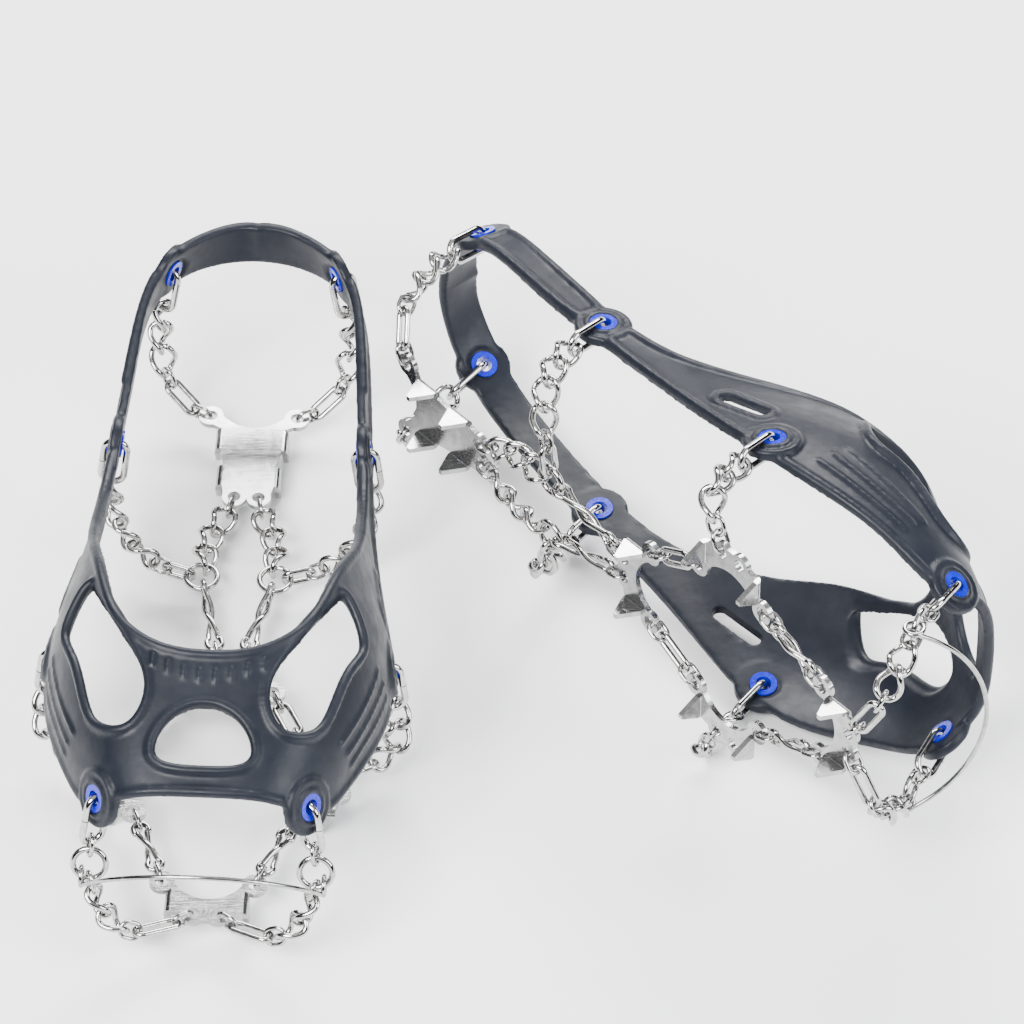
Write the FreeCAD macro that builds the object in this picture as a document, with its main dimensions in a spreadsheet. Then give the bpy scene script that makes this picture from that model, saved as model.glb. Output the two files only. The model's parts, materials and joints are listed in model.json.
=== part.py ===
import FreeCAD, Part
import math
import os

from FreeCAD import Placement, Rotation, Vector

# A pair of slip-on ice cleats.  Each one is an elastomer harness with eight grommets, from which
# chains carry four spiked plates under the forefoot and one under the heel.  Millimetres.
# Cleat frame: x toward the toe, y to the left, z up, tooth tips at z = 0.

os.makedirs("parts", exist_ok=True)
doc = FreeCAD.newDocument("ice_cleats")

# ---------------------------------------------------------------- driving dimensions
sheet = doc.addObject("Spreadsheet::Sheet", "Dimensions")
DIMENSIONS = {
    # harness
    "harness_thick": 3.2, "tab_radius": 10.5, "tab_thick": 3.6, "grommet_seat": 6.6,
    "grommet_barrel": 3.9, "grommet_bore": 2.9, "grommet_flange": 5.0, "flange_thick": 0.7,
    "barrel_play": 0.05, "flange_play": 0.02, "slot_radius": 2.6,
    # spiked plates
    "plate_thick": 2.0, "plate_level": 10.0, "apex_spread": 4.5, "apex_hole": 2.4, "apex_lug": 4.5,
    "arm_back": 14.0, "arm_spread": 16.5, "arm_hole": 2.4, "arm_lug": 4.6,
    "tooth_line": 12.6, "tooth_mid": -5.6, "tooth_width": 10.0, "tooth_tip": 1.6, "waist": -6.5,
    # heel plate
    "heel_length": 40.0, "heel_spread": 16.0, "heel_waist": 9.0,
    # steel wire
    "curb_wire": 1.1, "ring_wire": 0.8, "bar_wire": 1.1, "oblong_wire": 1.3,
    "bail_wire": 0.85, "bail_eye_wire": 0.9,
    "curb_pitch": 9.7, "curb_half_width": 4.4, "curb_fullness": 0.3, "link_gap": 0.42,
    "ring_half_width": 3.0, "oblong_half_width": 4.2, "bar_half_width": 2.75, "bar_waist": 1.35,
    "bail_ring_radius": 5.8, "bail_eye": 3.35, "bail_reach": 27.0, "bail_tilt": 60.0,
    # layout
    "toe_plate_at": 126.0, "side_plate_at": 63.5, "side_plate_out": 43.3, "rear_plate_at": 8.0,
    "heel_plate_at": -72.0, "junction_at": -32.7, "junction_out": 13.5,
}
for row, (alias, value) in enumerate(DIMENSIONS.items(), start=1):
    sheet.set("A%d" % row, alias.replace("_", " "))
    sheet.set("B%d" % row, str(value))
    sheet.setAlias("B%d" % row, alias)
doc.recompute()


def dim(alias):
    return float(sheet.get(alias))


# ---------------------------------------------------------------- shape of the boot the harness hugs
SOLE_EDGE = 25.0
# x, half width, height of the ridge line, squareness of the section (smaller is squarer)
BOOT = [(150, 10, 50, .60), (140, 25, 66, .60), (127, 36, 76, .60), (110, 46, 84, .60),
        (90, 54, 92, .64), (65, 60, 102, .72), (45, 61.5, 108, .80), (20, 57.5, 114, .90),
        (0, 53, 121, .95), (-30, 48.5, 130, 1.0), (-56, 47, 135, 1.0), (-90, 44.5, 140, 1.0),
        (-109, 42, 140, 1.0), (-122, 40, 140, 1.0), (-134.8, 33.5, 140, 1.0),
        (-146, 19.5, 140, 1.0), (-151, 0, 140, 1.0)]


def boot_row(x):
    """Half width, ridge height and squareness at a station along the boot."""
    for (x1, *a), (x0, *b) in zip(BOOT, BOOT[1:]):
        if x0 <= x <= x1:
            f = (x - x0) / (x1 - x0)
            return [q + f * (p - q) for p, q in zip(a, b)]
    raise ValueError("station %s is off the boot" % x)


def on_boot(x, roll):
    """Point of the boot at station x, roll 0 on the ridge and 90 at the sole edge."""
    half_width, ridge, square = boot_row(x)
    a = math.radians(roll)
    return Vector(x, half_width * math.sin(a) ** square,
                  SOLE_EDGE + (ridge - SOLE_EDGE) * max(math.cos(a), 0) ** square)


def roll_at_height(x, z):
    half_width, ridge, square = boot_row(x)
    return math.degrees(math.acos(((z - SOLE_EDGE) / (ridge - SOLE_EDGE)) ** (1 / square)))


def roll_at_side(x, y):
    half_width, ridge, square = boot_row(x)
    return math.degrees(math.asin((y / half_width) ** (1 / square)))


def boot_normal(x, roll):
    along = on_boot(x + 1, roll) - on_boot(x - 1, roll)
    down = on_boot(x, min(roll + 1, 89.5)) - on_boot(x, roll - 1)
    normal = down.cross(along)
    normal.normalize()
    return normal if normal.y > 0 else normal.negative()


# ---------------------------------------------------------------- document helpers
def feature(name, shape):
    """Object for a free-form shape that no primitive makes."""
    obj = doc.addObject("Part::Feature", name)
    obj.Shape = shape
    return obj


def bound(kind, name, place=None, **sizes):
    """Object whose sizes follow the spreadsheet; in an expression, # stands before an alias."""
    obj = doc.addObject(kind, name)
    for prop, expression in sizes.items():
        obj.setExpression(prop, expression.replace("#", "Dimensions."))
    if place is not None:
        obj.Placement = place
    return obj


def cylinder(name, radius, height, at, way=Vector(0, 0, 1)):
    return bound("Part::Cylinder", name, Placement(at, Rotation(Vector(0, 0, 1), way)),
                 Radius=radius, Height=height)


def fused(name, objects, refine=False):
    obj = doc.addObject("Part::MultiFuse", name)
    obj.Shapes = objects
    obj.Refine = refine
    return obj


def cut(name, base, tools, refine=False):
    obj = doc.addObject("Part::Cut", name)
    obj.Base, obj.Tool = base, group(name + "_tools", tools)
    obj.Refine = refine
    return obj


def group(name, objects, place=Placement()):
    """Several objects, or one, kept as they are and set in a place together."""
    obj = doc.addObject("Part::Compound", name)
    obj.Links = objects
    obj.Placement = place
    return obj


def mirrored(name, source):
    """Copy on the other side of the foot's lengthwise plane."""
    obj = doc.addObject("Part::Mirroring", name)
    obj.Source, obj.Base, obj.Normal = source, Vector(), Vector(0, 1, 0)
    return obj


def curve_through(points, closed=False):
    curve = Part.BSplineCurve()
    curve.interpolate(points, PeriodicFlag=closed)
    return curve


def closed_rod(curve, radius):
    """Wire link along a closed curve, welded from two halves."""
    first, last = curve.FirstParameter, curve.LastParameter
    middle = (first + last) / 2
    halves = []
    for a, b in ((first, middle), (middle, last)):
        edge = curve.toShape(a, b)
        section = Part.Wire([Part.makeCircle(radius, edge.valueAt(a), edge.tangentAt(a))])
        halves.append(Part.Wire([edge]).makePipeShell([section], True, True))
    return halves[0].fuse(halves[1]).Solids[0]


# ---------------------------------------------------------------- single links, long axis on x
def half_ring(name, radius, wire, x, side):
    """Half torus that bulges along x, to either side."""
    obj = bound("Part::Torus", name, Placement(Vector(x, 0, 0), Rotation(Vector(0, 0, 1), -90 * side)),
                Radius1=radius, Radius2=wire)
    obj.Angle3 = 180
    return obj


def stadium_link(name, half_length, half_width, wire):
    """Flat link with straight sides and round ends; width and wire are given by alias."""
    straight = half_length - dim(half_width)
    parts = []
    for side, word in ((1, "front"), (-1, "rear")):
        parts.append(cylinder("%s_%s_bar" % (name, word), "#" + wire, "2 * (%s - #%s)" % (half_length, half_width),
                              Vector(-straight, side * dim(half_width), 0), Vector(1, 0, 0)))
        parts.append(half_ring("%s_%s_end" % (name, word), "#" + half_width, "#" + wire, side * straight, side))
    return fused(name, parts)


def curb_link(half_length, half_width, wire, end_turn):
    """Oval link whose ends are turned by end_turn to either side."""
    points = []
    steps = 16
    for i in range(steps):
        t = 2 * math.pi * i / steps
        x = half_length * math.cos(t)
        y = half_width * math.sin(t) * (1 + dim("curb_fullness") * math.cos(t) ** 2)
        turn = math.radians(end_turn) * math.sin(x / half_length * math.pi / 2)
        points.append(Vector(x, y * math.cos(turn), y * math.sin(turn)))
    return closed_rod(curve_through(points, closed=True), wire)


def twist_link(half_length, eye, wire, waist, end_turn):
    """Long link with round eyes, turned by end_turn to either side; its two sides wind together."""
    straight = half_length - eye
    solids = []
    for side in (1, -1):
        end = Part.makeTorus(eye, wire, Vector(), Vector(0, 0, 1), 0, 360, 180)
        end.rotate(Vector(), Vector(0, 0, 1), -90 * side)
        end.rotate(Vector(), Vector(1, 0, 0), end_turn * side)
        end.translate(Vector(side * straight, 0, 0))
        solids.append(end)
        points = []
        for i in range(13):
            f = -1 + i / 6
            reach = side * (waist + (eye - waist) * f ** 4)
            turn = math.radians(end_turn) * math.sin(f * math.pi / 2)
            points.append(Vector(f * straight, reach * math.cos(turn), reach * math.sin(turn)))
        curve = Part.BSplineCurve()
        curve.interpolate(points, InitialTangent=Vector(1, 0, 0), FinalTangent=Vector(1, 0, 0))
        edge = curve.toShape()
        pipe = Part.BRepOffsetAPI.MakePipeShell(Part.Wire([edge]))
        pipe.setBiNormalMode(Vector(0, 1, 0))
        pipe.add(Part.Wire([Part.makeCircle(wire, points[0], Vector(1, 0, 0))]))
        pipe.build()
        pipe.makeSolid()
        solids.append(pipe.shape())
    return solids[0].fuse(solids[1:]).Solids[0]


WIRE = {"curb": "curb_wire", "jump": "ring_wire", "bar": "bar_wire", "twist": "bar_wire",
        "round": "bar_wire", "oblong": "oblong_wire"}
WIDTH = {"bar": "bar_half_width", "oblong": "oblong_half_width", "jump": "ring_half_width"}
CURB_HALF = (dim("curb_pitch") + 2 * dim("curb_wire") + dim("link_gap")) / 2
JUMP_HALF = 3.95
made = {}


def link_object(kind, half_length):
    """The object for one kind and length of link, made once."""
    key = (kind, round(half_length, 3))
    if key not in made:
        name = "%s_link_%d" % (kind, len(made))
        wire = dim(WIRE[kind])
        if kind == "curb":
            made[key] = feature(name, curb_link(half_length, dim("curb_half_width"), wire, 45))
        elif kind == "twist":
            end_turn = 90 if half_length < 14 else 135
            made[key] = feature(name, twist_link(half_length, dim("bar_half_width"), wire,
                                                 dim("bar_waist"), end_turn))
        elif kind == "round":
            made[key] = bound("Part::Torus", name, Radius1="#bail_ring_radius", Radius2="#" + WIRE[kind])
        else:
            made[key] = stadium_link(name, round(half_length, 3), WIDTH[kind], WIRE[kind])
    return made[key]


def place_link(kind, half_length, place):
    """One link, set in its place in the cleat."""
    return group("placed_link", [link_object(kind, half_length)], place)


# ---------------------------------------------------------------- chains
def bezier(p0, p1, p2, p3, t):
    return (p0 * (1 - t) ** 3 + p1 * (3 * t * (1 - t) ** 2) + p2 * (3 * t * t * (1 - t)) + p3 * t ** 3)


def hang(start, start_way, end, end_way, pitches):
    """Joint points of a run of links; the slack of the curve is set so that the links just fill it."""
    def walk(slack):
        curve = [bezier(start, start + start_way * slack, end + end_way * slack, end, i / 400)
                 for i in range(401)]
        joints, i = [start], 0
        for pitch in pitches[:-1]:
            while i < 400 and (curve[i + 1] - joints[-1]).Length < pitch:
                i += 1
            if i >= 400:
                return joints, -1.0
            a, b = curve[i], curve[i + 1]
            da, db = (a - joints[-1]).Length, (b - joints[-1]).Length
            joints.append(a + (b - a) * ((pitch - da) / (db - da)))
        return joints, (end - joints[-1]).Length - pitches[-1]

    low, high = 0.0, 2.0 * sum(pitches)
    if walk(low)[1] > 0:
        raise ValueError("run of links is short by %.1f" % walk(low)[1])
    for _ in range(50):
        middle = (low + high) / 2
        if walk(middle)[1] > 0:
            high = middle
        else:
            low = middle
    return walk(low)[0] + [end]


def ends(kinds, first=None, last=None):
    """How far each link's centre line runs past its two joint points."""
    gap = dim("link_gap")
    out = []
    for i, kind in enumerate(kinds):
        before = dim(WIRE[kinds[i - 1]]) if i else first
        after = dim(WIRE[kinds[i + 1]]) if i + 1 < len(kinds) else last
        out.append([-0.5 if w is None else (dim(WIRE[kind]) + w + gap) / 2 for w in (before, after)])
    return out


def make_chain(links, start, start_way, end, end_way, centre, first, last, log=None):
    """Links of a chain, as a list. links holds kind, half length and roll of each one in order;
    a roll is counted from the outside of the hang, or from level where it is ("level", angle)."""
    over = ends([kind for kind, _, _ in links], first, last)
    pitches = [2 * half - a - b for (_, half, _), (a, b) in zip(links, over)]
    joints = hang(start, start_way, end, end_way, pitches)
    placed = []
    for (kind, half, roll), (a, b), p, q in zip(links, over, joints, joints[1:]):
        way = q - p
        way.normalize()
        out = (p + q) * 0.5 - centre
        out = out - way * out.dot(way)
        out.normalize()
        if isinstance(roll, tuple):
            out, roll = Vector(0, 0, 1), roll[1]
        turn = Rotation(way, out.cross(way), out, "XZY").multiply(Rotation(Vector(1, 0, 0), roll))
        middle = (p - way * a + q + way * b) * 0.5
        placed.append(place_link(kind, half, Placement(middle, turn)))
        if log is not None:
            log.append((kind, half, Placement(middle, turn)))
    return placed


# ---------------------------------------------------------------- spiked plates
def tooth_shape(u, v, way, drop):
    """Triangular tooth folded down from a plate edge that runs along the u axis at v."""
    thick, width, tip = dim("plate_thick"), dim("tooth_width"), dim("tooth_tip")
    inner, outer = 0.4, 0.4 + thick
    bend = Part.makeCylinder(outer, width, Vector(-width / 2, 0, -thick / 2 - 0.4), Vector(1, 0, 0))
    bend = bend.cut(Part.makeCylinder(inner, width, Vector(-width / 2, 0, -thick / 2 - 0.4),
                                      Vector(1, 0, 0)))
    quarter = Part.makeBox(width, outer, outer, Vector(-width / 2, 0, -thick / 2 - 0.4))
    bend = bend.common(quarter)
    slab = Part.makeBox(width, thick, drop - thick / 2 - 0.4, Vector(-width / 2, inner, -drop))
    blade = Part.Face(Part.makePolygon([
        Vector(-width / 2, -1, thick), Vector(width / 2, -1, thick), Vector(width / 2, -1, -thick),
        Vector(tip / 2, -1, -drop), Vector(-tip / 2, -1, -drop), Vector(-width / 2, -1, -thick),
        Vector(-width / 2, -1, thick)])).extrude(Vector(0, 2 * outer, 0))
    solid = bend.fuse(slab).common(blade)
    if way < 0:
        solid.rotate(Vector(), Vector(0, 0, 1), 180)
    solid.translate(Vector(u, v, 0))
    return solid


def finish_plate(name, edges, lug_rows, teeth):
    """Plate of a given outline with round lugs, a hole in each lug, and folded teeth.
    lug_rows holds x, y, alias of the lug's radius and alias of the hole's radius."""
    outline = feature(name + "_outline", Part.Face(Part.Wire(edges)))
    blank = bound("Part::Extrusion", name + "_blank", LengthFwd="#plate_thick", LengthRev="0")
    blank.Base, blank.DirMode, blank.Dir = outline, "Custom", Vector(0, 0, 1)
    thick = dim("plate_thick")
    lugs, holes = [], []
    for x, y, lug, hole in lug_rows:
        lugs.append(cylinder(name + "_lug", "#" + lug, "#plate_thick", Vector(x, y, 0)))
        holes.append(cylinder(name + "_hole", "#" + hole, "2 * #plate_thick", Vector(x, y, -thick / 2)))
    folded = []
    for at, out in teeth:
        for side in (1, -1):
            shape = tooth_shape(at, side * out, side, dim("plate_level"))
            shape.translate(Vector(0, 0, thick / 2))
            folded.append(feature(name + "_tooth", shape))
    plate = cut(name, fused(name + "_body", [blank] + lugs + folded), holes, refine=True)
    return group(name + "_centred", [plate], Placement(Vector(0, 0, -thick / 2), Rotation()))


def forefoot_plate():
    """Boomerang plate, apex on +x; two lug holes at the apex and one at the end of each arm."""
    spread, arm = dim("apex_spread"), dim("arm_spread")
    back, line, middle = -dim("arm_back"), dim("tooth_line"), dim("tooth_mid")
    half = dim("tooth_width") / 2
    outline = [(dim("apex_lug") - 1.2, spread + 3.2), (0.3, spread + 4.4), (middle + half, line),
               (middle - half, line), (back + 3.4, arm - 3), (back, arm - 4)]
    left = [Vector(x, y, 0) for x, y in outline]
    right = [Vector(x, -y, 0) for x, y in reversed(outline)]
    waist = Part.Arc(left[-1], Vector(dim("waist"), 0, 0), right[0])
    edges = [Part.makeLine(a, b) for a, b in zip(left, left[1:])] + [waist.toShape()]
    edges += [Part.makeLine(a, b) for a, b in zip(right, right[1:])]
    edges.append(Part.makeLine(right[-1], left[0]))
    rows = [(0, side * spread, "apex_lug", "apex_hole") for side in (1, -1)]
    rows += [(back, side * arm, "arm_lug", "arm_hole") for side in (1, -1)]
    return finish_plate("boomerang", edges, rows, [(middle, line)])


def heel_plate():
    """Y-shaped plate, front holes on x = 0; it widens to two rear corner holes."""
    spread, rear = dim("apex_spread"), dim("heel_spread")
    back, waist = -dim("heel_length"), dim("heel_waist")
    half = dim("tooth_width") / 2
    front_tooth, rear_tooth = (-10.5, waist + 0.6), (back + 11.5, waist + 2.2)
    left = [Vector(0, spread + 3.9, 0)]
    for at, out in (front_tooth, rear_tooth):
        left += [Vector(at + half, out, 0), Vector(at - half, out, 0)]
    left.append(Vector(back + 2, rear + 3.5, 0))
    left.append(Vector(back - 2.5, rear - 3, 0))
    right = [Vector(v.x, -v.y, 0) for v in reversed(left)]
    far = Part.Arc(left[-1], Vector(back + 5.5, 0, 0), right[0]).toShape()
    edges = [Part.makeLine(a, b) for a, b in zip(left, left[1:])] + [far]
    edges += [Part.makeLine(a, b) for a, b in zip(right, right[1:])]
    edges.append(Part.makeLine(right[-1], left[0]))
    rows = [(0, side * spread, "apex_lug", "apex_hole") for side in (1, -1)]
    rows += [(back, side * rear, "arm_lug", "arm_hole") for side in (1, -1)]
    return finish_plate("heel_wishbone", edges, rows, [front_tooth, rear_tooth])


# ---------------------------------------------------------------- harness
# name, station, height of each eyelet on the boot's side
EYELETS = {"toe": (119, 64), "ball": (40.8, 48.7), "arch": (-56.4, 55), "heel": (-134, 65)}
EYELET_AT, EYELET_OUT = {}, {}
for name, (x, z) in EYELETS.items():
    roll = roll_at_height(x, z)
    EYELET_AT[name] = on_boot(x, roll)
    EYELET_OUT[name] = boot_normal(x, roll)

# stations round one side of the band: x and roll of its lower edge, x and roll of its upper edge
BAND = [(127, 0, 78, 0),
        (126.6, roll_at_side(126.6, 15), 75.5, roll_at_side(75.5, 17)),
        (125, roll_at_side(125, 27), 66, roll_at_side(66, 30)),
        (117, roll_at_height(117, 57), 51, roll_at_side(51, 37)),
        (97, roll_at_height(97, 52.5), 33, roll_at_side(33, 41.5)),
        (70, roll_at_height(70, 46), 14, roll_at_height(14, 82)),
        (38, roll_at_height(38, 41.5), -4, roll_at_height(-4, 72)),
        (8, roll_at_height(8, 43.5), -21, roll_at_height(-21, 65)),
        (-22, roll_at_height(-22, 46.5), -37, roll_at_height(-37, 62)),
        (-56, roll_at_height(-56, 48), -58, roll_at_height(-58, 62.5)),
        (-92, roll_at_height(-92, 51.5), -92, roll_at_height(-92, 66.5)),
        (-122, roll_at_height(-122, 56), -122, roll_at_height(-122, 71.5)),
        (-142, roll_at_height(-142, 57.5), -142, roll_at_height(-142, 74)),
        (-151, roll_at_height(-151, 57), -151, roll_at_height(-151, 75))]


def surface_through(rows):
    surface = Part.BSplineSurface()
    surface.interpolate(rows)
    return surface


def band_half():
    """Left half of the elastomer band, from the middle of the toe to the middle of the heel."""
    across = 5
    rows = []
    for x1, roll1, x2, roll2 in BAND:
        rows.append([on_boot(x1 + (x2 - x1) * j / (across - 1), roll1 + (roll2 - roll1) * j / (across - 1))
                     for j in range(across)])
    rows = [[Vector(p.x, -p.y, p.z) for p in row] for row in reversed(rows[1:])] + rows
    middle = surface_through(rows)
    centre = len(rows) // 2
    skins = []
    for side in (0.5, -0.5):
        shifted = []
        for i, row in enumerate(rows):
            line = []
            for point in row:
                u, v = middle.parameter(point)
                normal = middle.normal(u, v)
                if i in (0, centre, len(rows) - 1):
                    normal = Vector(normal.x, 0, normal.z)
                    normal.normalize()
                outward = normal if normal.dot(point - Vector(0, 0, 40)) > 0 else normal.negative()
                line.append(point + outward * (side * dim("harness_thick")))
            shifted.append(line)
        skin = surface_through(shifted)
        toe = skin.parameter(shifted[centre][2])[0]
        skin.segment(toe, *skin.bounds()[1:])
        skins.append(skin)
    outer, inner = skins
    faces = [outer.toShape(), inner.toShape()]
    for get, values in (("uIso", outer.bounds()[:2]), ("vIso", outer.bounds()[2:])):
        for k, value in enumerate(values):
            other = inner.bounds()[:2] if get == "uIso" else inner.bounds()[2:]
            faces.append(Part.makeRuledSurface(getattr(outer, get)(value).toShape(),
                                               getattr(inner, get)(other[k]).toShape()))
    shell = Part.Shell(faces)
    shell.sewShape()
    solid = Part.Solid(shell)
    if solid.Volume < 0:
        solid.reverse()
    return solid


def round_outline(points):
    """Closed smooth curve through plan points, as a face at z = 0."""
    return Part.Face(Part.Wire([curve_through([Vector(x, y, 0) for x, y in points], True).toShape()]))


def harness():
    """Moulded shell with a thicker round tab at each eyelet, windows over the toes and side slots."""
    half = feature("harness_left_skin", band_half())
    parts, cutters = [half, mirrored("harness_right_skin", half)], []
    for name in EYELETS:
        for side in (1, -1):
            at = Vector(EYELET_AT[name].x, side * EYELET_AT[name].y, EYELET_AT[name].z)
            out = Vector(EYELET_OUT[name].x, side * EYELET_OUT[name].y, EYELET_OUT[name].z)
            middle = out * (dim("tab_thick") / 2)
            parts.append(cylinder(name + "_tab", "#tab_radius", "#tab_thick", at - middle, out))
            cutters.append(cylinder(name + "_eyelet", "#grommet_barrel", "20", at - out * 10, out))
            cutters.append(cylinder(name + "_outer_seat", "#grommet_seat", "4", at + middle, out))
            cutters.append(cylinder(name + "_inner_seat", "#grommet_seat", "4", at - middle, out.negative()))
    dome = Part.Wire([Part.makeLine(Vector(118, -17.5, 0), Vector(118, 17.5, 0)),
                      Part.Arc(Vector(118, 17.5, 0), Vector(97, 0, 0), Vector(118, -17.5, 0)).toShape()])
    outlines = [Part.Face(dome)]
    slant = [(46, 43.5), (62, 36), (73, 29.5), (86, 22.5), (96, 22.5), (103, 28), (101, 36),
             (88, 43), (70, 48.5), (53, 50.5)]
    outlines += [round_outline([(x, side * y) for x, y in slant]) for side in (1, -1)]
    windows = []
    for face in outlines:
        window = bound("Part::Extrusion", "window", LengthFwd="200")
        window.Base, window.DirMode, window.Dir = feature("window_outline", face), "Custom", Vector(0, 0, 1)
        windows.append(window)
    for side in (1, -1):
        front, rear = Vector(22, side * 40, 59), Vector(10, side * 40, 57)
        ends = [cylinder("slot_end", "#slot_radius", "30", at, Vector(0, side, 0)) for at in (front, rear)]
        middle = bound("Part::Box", "slot_middle", Length="12.17", Width="30", Height="2 * #slot_radius")
        middle.Placement.Base = Vector(10, 40 if side > 0 else -70, 57 - dim("slot_radius"))
        windows.append(fused("slot", ends + [middle]))
    return cut("harness_shell", cut("harness_windows", fused("harness_body", parts), windows), cutters)


def grommet():
    """Flanged tube, middle at the origin and axis on z; its flanges bear on both faces of a tab."""
    face = dim("tab_thick") / 2
    parts = [cylinder("grommet_barrel", "#grommet_barrel - #barrel_play", "#tab_thick + 0.1",
                      Vector(0, 0, -face - 0.05))]
    for side in (1, -1):
        parts.append(cylinder("grommet_flange", "#grommet_flange", "#flange_thick - #flange_play",
                              Vector(0, 0, side * (face + dim("flange_play"))), Vector(0, 0, side)))
    bore = cylinder("grommet_bore", "#grommet_bore", "20", Vector(0, 0, -10))
    return cut("grommet", fused("grommet_blank", parts), [bore])


# ---------------------------------------------------------------- the sub-parts of one cleat
def along_tab(name, toward):
    """Hanging direction of an eyelet's ring: in the plane of the tab, toward a given point."""
    at, out = EYELET_AT[name], EYELET_OUT[name]
    way = toward - at
    way = way - out * way.dot(out)
    way.normalize()
    return way


LEVEL = dim("plate_level")
OBLONG_HALF = 9.5
HOLE_RING_HALF = 4.1
RING_WAY = {}


def eyelet_ring(name, toward):
    """Oblong ring through an eyelet, and the joint point at its lower end."""
    at, out = EYELET_AT[name], EYELET_OUT[name]
    way = along_tab(name, toward)
    middle = at + way * (OBLONG_HALF - 0.8)
    ring = place_link("oblong", OBLONG_HALF, Placement(middle, Rotation(way, out, way.cross(out), "XYZ")))
    RING_WAY[name] = way
    end = middle + way * (OBLONG_HALF - (dim("oblong_wire") + dim("bar_wire") + dim("link_gap")) / 2)
    return ring, end, way


def hole_ring(hole, way, wire_after):
    """Oval ring through a plate hole, heading along way, and the joint point at its far end."""
    middle = hole + way * (HOLE_RING_HALF + 0.3)
    up = Vector(0, 0, 1)
    ring = place_link("jump", HOLE_RING_HALF, Placement(middle, Rotation(way, up, way.cross(up), "XYZ")))
    return ring, middle + way * (HOLE_RING_HALF - (dim("ring_wire") + wire_after + dim("link_gap")) / 2)


def unit(x, y, z=0.0):
    way = Vector(x, y, z)
    way.normalize()
    return way


# holes of the plates on the left side, in the cleat frame
TOE_APEX = Vector(dim("toe_plate_at"), dim("apex_spread"), LEVEL)
TOE_ARM = Vector(dim("toe_plate_at") - dim("arm_back"), dim("arm_spread"), LEVEL)
REAR_APEX = Vector(dim("rear_plate_at"), dim("apex_spread"), LEVEL)
REAR_ARM = Vector(dim("rear_plate_at") + dim("arm_back"), dim("arm_spread"), LEVEL)
SIDE_IN = dim("side_plate_out") - dim("arm_back")
SIDE_FRONT_ARM = Vector(dim("side_plate_at") + dim("arm_spread"), SIDE_IN, LEVEL)
SIDE_REAR_ARM = Vector(dim("side_plate_at") - dim("arm_spread"), SIDE_IN, LEVEL)
SIDE_APEX = Vector(dim("side_plate_at") - dim("apex_spread"), dim("side_plate_out"), LEVEL)
HEEL_FRONT = Vector(dim("heel_plate_at"), dim("apex_spread"), LEVEL)
HEEL_REAR = Vector(dim("heel_plate_at") - dim("heel_length"), dim("heel_spread"), LEVEL)
JUNCTION = Vector(dim("junction_at"), dim("junction_out"), LEVEL)

PARTS = {}
PARTS["harness"] = [harness()]
one_grommet = grommet()
PARTS["eyelet_grommets"] = []
for name in EYELETS:
    at, out = EYELET_AT[name], EYELET_OUT[name]
    for side in (1, -1):
        place = Placement(Vector(at.x, side * at.y, at.z),
                          Rotation(Vector(0, 0, 1), Vector(out.x, side * out.y, out.z)))
        PARTS["eyelet_grommets"].append(group(name + "_grommet", [one_grommet], place))

boomerang, heel = forefoot_plate(), heel_plate()
for label, x, y, turn in (("toe_plate", dim("toe_plate_at"), 0, 0),
                          ("rear_plate", dim("rear_plate_at"), 0, 180),
                          ("left_plate", dim("side_plate_at"), dim("side_plate_out"), 90),
                          ("right_plate", dim("side_plate_at"), -dim("side_plate_out"), -90)):
    PARTS[label] = [group("set_" + label, [boomerang],
                          Placement(Vector(x, y, LEVEL), Rotation(Vector(0, 0, 1), turn)))]
PARTS["heel_plate"] = [group("set_heel_plate", [heel],
                             Placement(Vector(dim("heel_plate_at"), 0, LEVEL), Rotation()))]

log = {}


def side_pair(label, links):
    left = group("chain_" + label, links)
    PARTS["left_" + label] = [left]
    PARTS["right_" + label] = [mirrored("mirrored_" + label, left)]


# toe chain: ring, bail ring, curb links, ring, straight link, plate ring
way_out = unit(0.75, 1)
ring, start, way = eyelet_ring("toe", Vector(128, 38, 30))
end_ring, end = hole_ring(TOE_APEX, way_out, dim("bar_wire"))
links = [("jump", JUMP_HALF, -15), ("round", dim("bail_ring_radius"), 62), ("jump", JUMP_HALF, -6),
         ("curb", CURB_HALF, -20), ("curb", CURB_HALF, -35), ("jump", JUMP_HALF, -94),
         ("bar", 8.4, ("level", 20))]
log["toe"] = []
links = make_chain(links, start, way, end, way_out, Vector(100, 0, 50), dim("oblong_wire"),
                    dim("ring_wire"), log["toe"])
side_pair("toe_chain", links + [end_ring])
side_pair("toe_ring", [ring])

# ball chain
way_out = unit(-0.5, 1, 0.0)
ring, start, way = eyelet_ring("ball", Vector(48, 62, 10))
end_ring, end = hole_ring(SIDE_APEX, way_out, dim("ring_wire"))
links = [("curb", CURB_HALF, 72), ("curb", CURB_HALF, 87), ("curb", CURB_HALF, 58),
         ("jump", JUMP_HALF, ("level", 24))]
log["ball"] = []
links = make_chain(links, start, way, end, way_out, Vector(50, 0, 50), dim("oblong_wire"),
                    dim("ring_wire"), log["ball"])
side_pair("ball_chain", links + [end_ring])
side_pair("ball_ring", [ring])

# heel chain
way_out = unit(-0.5, 1)
ring, start, way = eyelet_ring("heel", Vector(-125, 36, 10))
end_ring, end = hole_ring(HEEL_REAR, way_out, dim("bar_wire"))
links = [("curb", CURB_HALF, 30), ("curb", CURB_HALF, 0), ("curb", CURB_HALF, -30), ("jump", JUMP_HALF, -99),
         ("bar", 7.5, ("level", 0))]
log["heel"] = []
links = make_chain(links, start, way, end, way_out, Vector(-105, 0, 50), dim("oblong_wire"),
                    dim("ring_wire"), log["heel"])
side_pair("heel_chain", links + [end_ring])
side_pair("heel_ring", [ring])

# lengthwise chain: rear plate ring, twisted link, junction ring, curb links, heel plate ring
HOOK = dim("bail_ring_radius") - (2 * dim("bar_wire") + dim("link_gap")) / 2


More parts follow.
